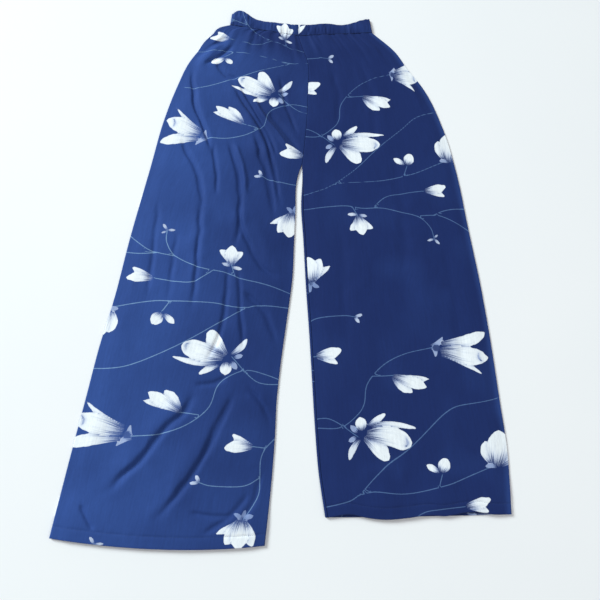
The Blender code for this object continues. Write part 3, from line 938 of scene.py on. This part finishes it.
def make_band(is_front, cell):
    """Half of the waistband: a casing turned over from the tops of the legs, gathered by elastic."""
    across_all = WAIST_SEAM_LEFT[0] - WAIST_SEAM_RIGHT[0]
    edge = np.array(EDGE_RUN_STEPS)
    columns = np.concatenate([-edge[::-1], np.linspace(0.0, 1.0, int(across_all / cell)), 1 + edge])
    rows = np.concatenate([
        np.linspace(0.0, 1.0, int(BAND_BUILT_DEPTH / (2 * cell))), np.linspace(1.0, 2.0, 7)[1:],
        np.linspace(2.0, 3.0, 9)[1:],
    ])
    bm = grid_mesh(columns, rows)
    half = "front" if is_front else "back"
    name = "casing_" + half
    mesh = bpy.data.meshes.new(name)
    bm.to_mesh(mesh)
    bm.free()
    column, row = grid_places(mesh)
    across, drop, height, share = band_points(is_front, column, row)
    shape_mesh(mesh, across, drop, height, is_front, row < 1.0)
    over_top = np.clip(row - 1.5, 0.0, 1.5) / 1.5 * BAND_PRINT_DEPTH
    on_right = across < BAND_CENTRE_SEAM
    right_uv = cloth_coordinates(RIGHT_LEG, is_front, across, drop - over_top, 0.5 * share)
    left_uv = cloth_coordinates(LEFT_LEG, is_front, across, drop - over_top, 0.5 * share)
    u, v = np.where(on_right, right_uv, left_uv)
    # Painted shade: the band's left half takes the shaded blue and its right half lies between, with a random
    # tone on top.
    nap = np.where(on_right, 0.62, 0.95) + 0.15 * ripple(across, drop, 0.02, 12)
    set_print(mesh, u, v, nap, 1.0)
    piece = cloth_object(name, mesh, printed_finish("waistband"), CLOTH)
    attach(piece, "root")
    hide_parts("waistband_" + half)
    return piece


def sew_band(is_front, cell, sewing):
    piece = make_band(is_front, cell)
    column = np.linspace(0.004, 0.996, 700)
    across, drop, height, _ = band_points(is_front, column, np.full_like(column, BAND_STITCH_ROW))
    height = height + (CLOTH / 2 if is_front else 0.0)
    stitching = make_stitching("stitching_" + piece.name, [(across, drop, height)], sewing)


# ---------------------------------------------------------------- stitching


def stitching_tree():
    """Geometry Nodes that lay short stitches along a line at an even pitch."""
    tree = bpy.data.node_groups.new("stitches along a line", "GeometryNodeTree")
    for name, kind, value in (
        ("Line", "NodeSocketGeometry", None), ("Pitch", "NodeSocketFloat", STITCH_PITCH),
        ("Stitch Length", "NodeSocketFloat", STITCH_LENGTH),
        ("Thread Radius", "NodeSocketFloat", THREAD_RADIUS),
        ("Thread", "NodeSocketMaterial", None),
    ):
        socket = tree.interface.new_socket(name=name, in_out="INPUT", socket_type=kind)
        if value is not None:
            socket.default_value = value
    tree.interface.new_socket(name="Stitches", in_out="OUTPUT", socket_type="NodeSocketGeometry")
    nodes = Graph(tree)
    given = nodes.add("NodeGroupInput").outputs
    line = nodes.add("GeometryNodeMeshToCurve", {"Mesh": given["Line"]}).outputs[0]
    line = nodes.add("GeometryNodeResampleCurve", {"Curve": line, "Length": given["Pitch"]}, mode="LENGTH")
    stitch = nodes.add("GeometryNodeMeshUVSphere", {"Segments": 6, "Rings": 4, "Radius": 1.0})
    half = nodes.math("MULTIPLY", given["Stitch Length"], 0.5)
    size = nodes.add(
        "ShaderNodeCombineXYZ", {"X": half, "Y": given["Thread Radius"], "Z": given["Thread Radius"]}
    )
    stitch = nodes.add(
        "GeometryNodeTransform", {"Geometry": stitch.outputs["Mesh"], "Scale": size.outputs[0]}
    )
    tangent = nodes.add("GeometryNodeInputTangent").outputs[0]
    turn = nodes.add("FunctionNodeAlignRotationToVector", {"Vector": tangent}, axis="X")
    placed = nodes.add("GeometryNodeInstanceOnPoints", {
        "Points": line.outputs[0], "Instance": stitch.outputs[0], "Rotation": turn.outputs[0],
    })
    real = nodes.add("GeometryNodeRealizeInstances", {"Geometry": placed.outputs[0]})
    smoothed = nodes.add("GeometryNodeSetShadeSmooth", {"Geometry": real.outputs[0]})
    finished = nodes.add(
        "GeometryNodeSetMaterial", {"Geometry": smoothed.outputs[0], "Material": given["Thread"]}
    )
    nodes.add("NodeGroupOutput", {0: finished.outputs[0]})
    return tree


def make_stitching(name, lines, sewing):
    """Stitches along lines of (across, drop, height) on the cloth, as one plain mesh."""
    points, edges = [], []
    for across, drop, height in lines:
        first = len(points)
        points += np.stack([WAIST_X + across, WAIST_Y - drop, height], axis=-1).tolist()
        edges += [(i, i + 1) for i in range(first, len(points) - 1)]
    guide_mesh = bpy.data.meshes.new(name + "_line")
    guide_mesh.from_pydata(points, edges, [])
    guide = new_object(name + "_line", guide_mesh)
    tree = bpy.data.node_groups.get("stitches along a line") or stitching_tree()
    nodes = guide.modifiers.new("stitches", "NODES")
    nodes.node_group = tree
    values = {
        "Pitch": sewing.stitch_pitch, "Stitch Length": sewing.stitch_length,
        "Thread Radius": sewing.thread_radius, "Thread": thread_finish(),
    }
    for item in tree.interface.items_tree:
        if item.in_out == "INPUT" and item.name in values:
            nodes[item.identifier] = values[item.name]
    evaluated = guide.evaluated_get(bpy.context.evaluated_depsgraph_get())
    mesh = bpy.data.meshes.new_from_object(evaluated)
    mesh.name = name
    bpy.data.objects.remove(guide)
    piece = new_object(name, mesh)
    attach(piece, "root")
    return piece


# ---------------------------------------------------------------- finishes


class Graph:
    """Short ways to add and join the nodes of one tree."""

    def __init__(self, tree):
        self.tree = tree

    def add(self, kind, inputs=None, **settings):
        node = self.tree.nodes.new(kind)
        for name, value in settings.items():
            setattr(node, name, value)
        for key, value in (inputs or {}).items():
            if isinstance(value, bpy.types.NodeSocket):
                self.tree.links.new(value, node.inputs[key])
            else:
                node.inputs[key].default_value = value
        return node

    def math(self, operation, *values, clamp=False):
        node = self.add("ShaderNodeMath", dict(enumerate(values)), operation=operation, use_clamp=clamp)
        return node.outputs[0]

    def mix(self, amount, first, second, blend="MIX"):
        node = self.add(
            "ShaderNodeMix", {0: amount, 6: first, 7: second}, data_type="RGBA", blend_type=blend
        )
        return node.outputs[2]

    def rise(self, value, low, high):
        """0 below low, 1 above high, and soft between."""
        node = self.add(
            "ShaderNodeMapRange", {"Value": value, "From Min": low, "From Max": high},
            interpolation_type="SMOOTHSTEP",
        )
        return node.outputs[0]

    def attribute(self, name):
        return self.add("ShaderNodeAttribute", attribute_name=name).outputs["Fac"]

    def noise(self, vector, scale, detail=2.0):
        node = self.add("ShaderNodeTexNoise", {"Vector": vector, "Scale": scale, "Detail": detail})
        return node.outputs[0]

    def flat_cloth(self, scale=(1.0, 1.0, 1.0)):
        """The flat cloth's coordinates, in metres, stretched by the given scale."""
        place = self.add("ShaderNodeUVMap", uv_map="cloth").outputs[0]
        return self.add("ShaderNodeMapping", {"Vector": place, "Scale": scale}).outputs[0]


def new_group(name, inputs, outputs):
    """A shader node group with named inputs and outputs, its graph, and its input sockets."""
    tree = bpy.data.node_groups.new(name, "ShaderNodeTree")
    for label, kind, value in inputs:
        tree.interface.new_socket(name=label, in_out="INPUT", socket_type=kind).default_value = value
    for label, kind in outputs:
        tree.interface.new_socket(name=label, in_out="OUTPUT", socket_type=kind)
    nodes = Graph(tree)
    return nodes, nodes.add("NodeGroupInput").outputs


def crepe_group():
    """The pebbled face of the cloth: a height for bump, and a tone that varies round 1."""
    name = "crepe face"
    if name in bpy.data.node_groups:
        return bpy.data.node_groups[name]
    nodes, given = new_group(
        name,
        [("Pebble Pitch", "NodeSocketFloat", 0.0007), ("Slub", "NodeSocketFloat", 0.10)],
        [("Height", "NodeSocketFloat"), ("Tone", "NodeSocketFloat")],
    )
    per_metre = nodes.math("DIVIDE", 1.0, given["Pebble Pitch"])
    pebbles = nodes.noise(nodes.flat_cloth(), per_metre, 3.0)
    threads = nodes.noise(nodes.flat_cloth((1400.0, 160.0, 1.0)), 1.0, 2.0)
    slubs = nodes.noise(nodes.flat_cloth((330.0, 26.0, 1.0)), 1.0, 3.0)
    height = nodes.math("ADD", pebbles, nodes.math("MULTIPLY", threads, 0.6))
    streaks = nodes.math("SUBTRACT", nodes.math("ADD", slubs, threads), 1.0)
    tone = nodes.math("MULTIPLY_ADD", streaks, given["Slub"], 1.0)
    nodes.add("NodeGroupOutput", {"Height": height, "Tone": tone})
    return nodes.tree


def magnolia_group():
    """The print's colour over the cloth's own, drawn from what the points carry."""
    name = "printed magnolias"
    if name in bpy.data.node_groups:
        return bpy.data.node_groups[name]
    nodes, given = new_group(
        name,
        [(label, "NodeSocketColor", MID_GREY) for label in ("Cloth", "Petal", "Petal Shade", "Branch")],
        [("Color", "NodeSocketColor"), ("Petals", "NodeSocketFloat")],
    )
    wobble = nodes.math("SUBTRACT", nodes.noise(nodes.flat_cloth(), 420.0), 0.5)
    petal = nodes.math("MULTIPLY_ADD", wobble, 1.3, nodes.attribute("petal"))
    cover = nodes.rise(petal, -0.35, 0.35)
    along, vein = nodes.attribute("along"), nodes.attribute("vein")
    lengthways = nodes.add("ShaderNodeCombineXYZ", {
        "X": nodes.math("MULTIPLY", vein, 5.5), "Y": nodes.math("MULTIPLY", along, 1.4),
        "Z": nodes.attribute("white"),
    }).outputs[0]
    fine_line = nodes.rise(nodes.noise(lengthways, 1.0, 3.0), 0.46, 0.66)
    by_base = nodes.rise(along, 0.80, 0.20)
    streak = nodes.math("MULTIPLY", nodes.math("MULTIPLY_ADD", by_base, 0.36, 0.07), fine_line)
    shade = nodes.math("MULTIPLY", nodes.rise(along, 0.52, 0.02), 0.70)
    shade = nodes.math("ADD", shade, streak)
    shade = nodes.math("MULTIPLY_ADD", nodes.attribute("under"), 0.62, shade)
    rim = nodes.math("MULTIPLY", nodes.rise(petal, 2.2, 0.2), 0.16)
    shade = nodes.math("ADD", shade, rim)
    paper = nodes.rise(nodes.attribute("white"), 0.30, 1.0)
    light = nodes.math("MULTIPLY", paper, nodes.math("SUBTRACT", 1.0, shade, clamp=True), clamp=True)
    flower = nodes.mix(light, given["Petal Shade"], given["Petal"])
    whole = nodes.math("MULTIPLY_ADD", fine_line, 0.20, nodes.math("MULTIPLY", wobble, 0.2))
    opaque = nodes.rise(nodes.math("SUBTRACT", along, whole), -0.10, 0.28)
    cover = nodes.math("MULTIPLY", cover, opaque)
    cover = nodes.math("MULTIPLY", cover, nodes.rise(nodes.attribute("white"), 0.0, 0.45))
    shaded = nodes.rise(nodes.attribute("under"), 0.45, 0.85)
    gap = nodes.math("MULTIPLY", shaded, nodes.rise(along, 1.15, 0.35))
    cover = nodes.math("MULTIPLY", cover, nodes.math("SUBTRACT", 1.0, gap))
    off_line = nodes.math("ABSOLUTE", nodes.math("MULTIPLY_ADD", wobble, 0.9, nodes.attribute("stem")))
    on_branch = nodes.math(
        "MULTIPLY", nodes.rise(off_line, STEM_HALF / MM + 0.30, STEM_HALF / MM - 0.15),
        nodes.rise(nodes.attribute("stem_near"), 3.0, 2.2),
    )
    broken = nodes.math("MULTIPLY_ADD", nodes.noise(nodes.flat_cloth(), 130.0), 0.6, 0.5, clamp=True)
    ground = nodes.mix(nodes.math("MULTIPLY", on_branch, broken), given["Cloth"], given["Branch"])
    nodes.add("NodeGroupOutput", {"Color": nodes.mix(cover, ground, flower), "Petals": cover})
    return nodes.tree


def new_material(name):
    material = bpy.data.materials.new(name)
    material.use_nodes = True
    return material, Graph(material.node_tree), material.node_tree.nodes["Principled BSDF"]


def cloth_surface(nodes, shader, colour, slub, bump, roughness):
    """Colour with the crepe's tone on it, its bump, and its soft sheen."""
    crepe = nodes.add("ShaderNodeGroup", node_tree=crepe_group())
    crepe.inputs["Slub"].default_value = slub
    toned = nodes.add("ShaderNodeVectorMath", {0: colour, 3: crepe.outputs["Tone"]}, operation="SCALE")
    relief = nodes.add(
        "ShaderNodeBump", {"Height": crepe.outputs["Height"], "Strength": bump, "Distance": 0.0002}
    )
    link = nodes.tree.links.new
    link(toned.outputs[0], shader.inputs["Base Color"])
    link(relief.outputs[0], shader.inputs["Normal"])
    shader.inputs["Roughness"].default_value = roughness
    shader.inputs["Specular IOR Level"].default_value = 0.15
    shader.inputs["Sheen Weight"].default_value = 0.04
    shader.inputs["Sheen Roughness"].default_value = 0.45


def printed_finish(part):
    """The printed right side: one material for each leg, and one for the waistband."""
    name = "printed cloth, " + part
    if name in bpy.data.materials:
        return bpy.data.materials[name]
    look = bpy.context.scene.trouser_cloth
    _, nodes, shader = new_material(name)
    print_nodes = nodes.add("ShaderNodeGroup", node_tree=magnolia_group())
    # Painted shade: the cloth and branch blues are each mixed from a lit copy and a copy darkened in painted
    # shade, by the points' shade attribute.
    nap = nodes.attribute("nap")
    for label, first, second in (
        ("Cloth", look.right_leg, look.left_leg), ("Branch", look.branch, look.branch_left),
    ):
        colour = nodes.mix(nap, (*first, 1.0), (*second, 1.0))
        nodes.tree.links.new(colour, print_nodes.inputs[label])
    for label, colour in (("Petal", look.petal), ("Petal Shade", look.petal_shade)):
        print_nodes.inputs[label].default_value = (*colour, 1.0)
    cloth_surface(nodes, shader, print_nodes.outputs["Color"], slub=0.30, bump=0.35, roughness=0.74)
    return bpy.data.materials[name]


def wrong_side_finish():
    """The wrong side, where the print shows through faintly."""
    name = "cloth, wrong side"
    if name in bpy.data.materials:
        return bpy.data.materials[name]
    look = bpy.context.scene.trouser_cloth
    _, nodes, shader = new_material(name)
    through = nodes.rise(nodes.attribute("petal"), -1.5, 1.5)
    shown = nodes.math("MULTIPLY", through, 0.35)
    pale = nodes.mix(shown, (*look.wrong_side, 1.0), (*look.petal_shade, 1.0))
    cloth_surface(nodes, shader, pale, slub=0.25, bump=0.30, roughness=0.85)
    return bpy.data.materials[name]


def thread_finish():
    """Sewing thread, with its twist as fine slanting lines, bumped and darkened in painted shade along the
    grooves.
    """
    name = "sewing thread"
    if name in bpy.data.materials:
        return bpy.data.materials[name]
    look = bpy.context.scene.trouser_cloth
    _, nodes, shader = new_material(name)
    place = nodes.add("ShaderNodeTexCoord").outputs["Object"]
    slant = nodes.add("ShaderNodeMapping", {"Vector": place, "Rotation": (0.0, 0.0, 0.9)}).outputs[0]
    twist = nodes.add("ShaderNodeTexWave", {"Vector": slant, "Scale": 900.0}).outputs["Fac"]
    # Painted shade: the thread's colour is halved along the grooves of the twist.
    twist_groove_shade = tuple(0.5 * channel for channel in look.thread)
    nodes.tree.links.new(nodes.mix(twist, (*twist_groove_shade, 1.0), (*look.thread, 1.0)), shader.inputs["Base Color"])
    relief = nodes.add("ShaderNodeBump", {"Height": twist, "Strength": 0.3, "Distance": 0.0001})
    nodes.tree.links.new(relief.outputs[0], shader.inputs["Normal"])
    shader.inputs["Roughness"].default_value = 0.6
    return bpy.data.materials[name]


# ---------------------------------------------------------------- stage


def make_floor():
    """A pale, slightly mottled floor."""
    bpy.ops.mesh.primitive_plane_add(size=FLOOR_SIZE, location=(0.0, 0.0, -FLOOR_BELOW))
    floor = bpy.context.active_object
    floor.name = "floor"
    _, nodes, shader = new_material("pale floor")
    place = nodes.add("ShaderNodeTexCoord").outputs["Object"]
    tone = nodes.noise(place, 3.0)
    colour = nodes.mix(tone, (0.88, 0.89, 0.90, 1.0), (0.92, 0.92, 0.925, 1.0))
    nodes.tree.links.new(colour, shader.inputs["Base Color"])
    shader.inputs["Roughness"].default_value = 0.8
    floor.data.materials.append(bpy.data.materials["pale floor"])


def area_light(name, place, size, power, colour):
    """A round light that points at the middle of the trousers."""
    light = bpy.data.lights.new(name, "AREA")
    light.shape = "DISK"
    light.size = size
    light.energy = power
    light.color = colour
    lamp = new_object(name, light)
    lamp.location = place
    lamp.rotation_euler = (-Vector(place)).to_track_quat("-Z", "Y").to_euler()


def make_camera(look):
    """Above the trousers, tipped a little towards the hems."""
    camera = bpy.data.cameras.new("camera")
    camera.lens = look.lens
    camera.sensor_width = SENSOR_WIDTH
    view = new_object("camera", camera)
    aside = Matrix.Rotation(math.radians(CAMERA_ROLL_ASIDE), 4, "Y")
    turn = aside @ Matrix.Rotation(math.radians(CAMERA_TIP), 4, "X")
    view.matrix_world = Matrix.Translation(CAMERA_PLACE) @ turn
    bpy.context.scene.camera = view


def light_room(look):
    world = bpy.data.worlds.new("room")
    bpy.context.scene.world = world
    world.use_nodes = True
    background = world.node_tree.nodes["Background"]
    background.inputs["Color"].default_value = (0.955, 0.975, 1.0, 1.0)
    background.inputs["Strength"].default_value = look.room_light
    area_light("window", WINDOW_PLACE, WINDOW_SIZE, look.window_light, (0.88, 0.985, 1.0))
    area_light("fill", FILL_PLACE, FILL_SIZE, look.fill_light, (1.0, 0.99, 0.99))
    bpy.context.scene.view_settings.view_transform = "Standard"


# ---------------------------------------------------------------- the add-on


def colour_property(name, description, default):
    return bpy.props.FloatVectorProperty(
        name=name, description=description, default=default, subtype="COLOR", min=0.0, max=1.0
    )


def length_property(name, description, default, precision=4):
    return bpy.props.FloatProperty(
        name=name, description=description, default=default, unit="LENGTH", precision=precision
    )


def light_property(name, description, default, unit="POWER"):
    return bpy.props.FloatProperty(name=name, description=description, default=default, unit=unit)


class TrouserCloth(bpy.types.PropertyGroup):
    """Thickness and colours of the printed cloth."""

    thickness: length_property("Cloth thickness", "Thickness of the crepe", CLOTH)
    # right_leg and left_leg are one blue, lit and in painted shade: the darker left_leg is partly the cloth's
    # own colour and partly painted shade for the sheen it loses when cut the other way up.
    right_leg: colour_property("Right leg", "Blue of the right leg's cloth", (0.0285, 0.073, 0.272))
    left_leg: colour_property(
        "Left leg", "Blue of the left leg's cloth, cut the other way up", (0.0090, 0.0240, 0.118)
    )
    petal: colour_property("Petal", "White of the petals", (0.86, 0.90, 0.93))
    petal_shade: colour_property("Petal shade", "Blue-grey of the petals' bases", (0.22, 0.30, 0.54))
    # branch_left is the branch blue dimmed in painted shade, mixed in wherever the cloth blue is shaded.
    branch: colour_property(
        "Branch", "Pale blue of the branches, at the right leg's outer edge", (0.22, 0.37, 0.58)
    )
    branch_left: colour_property(
        "Branch, left leg", "Dimmer blue of the branches on the left leg", (0.085, 0.16, 0.33)
    )
    wrong_side: colour_property("Wrong side", "Paler blue of the cloth's wrong side", (0.10, 0.15, 0.30))
    thread: colour_property("Thread", "Navy of the sewing thread", (0.030, 0.060, 0.170))


class TrouserSewing(bpy.types.PropertyGroup):
    """Sizes of the stitches."""

    stitch_pitch: length_property("Stitch pitch", "From one stitch to the next", STITCH_PITCH)
    stitch_length: length_property("Stitch length", "Length of one stitch", STITCH_LENGTH)
    thread_radius: length_property("Thread radius", "Half the thickness of the thread", THREAD_RADIUS, 5)


class TrouserStage(bpy.types.PropertyGroup):
    """Camera and lights."""

    lens: bpy.props.FloatProperty(name="Lens", description="Focal length in millimetres", default=37.2)
    window_light: light_property("Window light", "Power of the light from the left", 530.0)
    fill_light: light_property("Fill light", "Power of the soft light from the right", 15.0)
    room_light: light_property("Room light", "Strength of the light from all round", 0.34, "NONE")


class TROUSERS_OT_stage(bpy.types.Operator):
    """Set up the floor, the camera and the lights"""

    bl_idname = "trousers.stage"
    bl_label = "Stage"

    def execute(self, context):
        look = context.scene.trouser_stage
        make_camera(look)
        light_room(look)
        make_floor()
        return {"FINISHED"}


class TROUSERS_OT_back_panels(bpy.types.Operator):
    """Lay both back panels on the floor, right side down"""

    bl_idname = "trousers.back_panels"
    bl_label = "Back panels"

    def execute(self, context):
        scene = context.scene
        for leg in (RIGHT_LEG, LEFT_LEG):
            lay_panel(leg, False, BACK_CELL, scene.trouser_cloth.thickness, scene.trouser_sewing)
        return {"FINISHED"}


class TROUSERS_OT_front_panels(bpy.types.Operator):
    """Lay both creased front panels on the back ones"""

    bl_idname = "trousers.front_panels"
    bl_label = "Front panels"

    def execute(self, context):
        scene = context.scene
        for leg in (RIGHT_LEG, LEFT_LEG):
            lay_panel(leg, True, FRONT_CELL, scene.trouser_cloth.thickness, scene.trouser_sewing)
        return {"FINISHED"}


class TROUSERS_OT_waistband(bpy.types.Operator):
    """Gather the casing of the waistband, back and front"""

    bl_idname = "trousers.waistband"
    bl_label = "Waistband"

    def execute(self, context):
        sewing = context.scene.trouser_sewing
        sew_band(False, 2 * BAND_CELL, sewing)
        sew_band(True, BAND_CELL, sewing)
        return {"FINISHED"}


class TROUSERS_PT_sidebar(bpy.types.Panel):
    """Builds the trousers piece by piece"""

    bl_idname = "TROUSERS_PT_sidebar"
    bl_label = "Palazzo trousers"
    bl_space_type = "VIEW_3D"
    bl_region_type = "UI"
    bl_category = "Trousers"

    def draw(self, context):
        for group in SETTINGS:
            settings = getattr(context.scene, group)
            for name in settings.__annotations__:
                self.layout.prop(settings, name)
        for operator in OPERATORS:
            self.layout.operator(operator.bl_idname)


OPERATORS = (
    TROUSERS_OT_stage, TROUSERS_OT_back_panels, TROUSERS_OT_front_panels, TROUSERS_OT_waistband,
)
SETTINGS = {"trouser_cloth": TrouserCloth, "trouser_sewing": TrouserSewing, "trouser_stage": TrouserStage}


def register():
    for kind in (*SETTINGS.values(), *OPERATORS, TROUSERS_PT_sidebar):
        bpy.utils.register_class(kind)
    for name, kind in SETTINGS.items():
        setattr(bpy.types.Scene, name, bpy.props.PointerProperty(type=kind))


def unregister():
    for name in SETTINGS:
        delattr(bpy.types.Scene, name)
    for kind in (TROUSERS_PT_sidebar, *OPERATORS, *SETTINGS.values()):
        bpy.utils.unregister_class(kind)


def main():
    register()
    bpy.ops.trousers.stage()
    bpy.ops.trousers.back_panels()
    bpy.ops.trousers.front_panels()
    bpy.ops.trousers.waistband()
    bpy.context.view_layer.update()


if __name__ == "__main__":
    main()
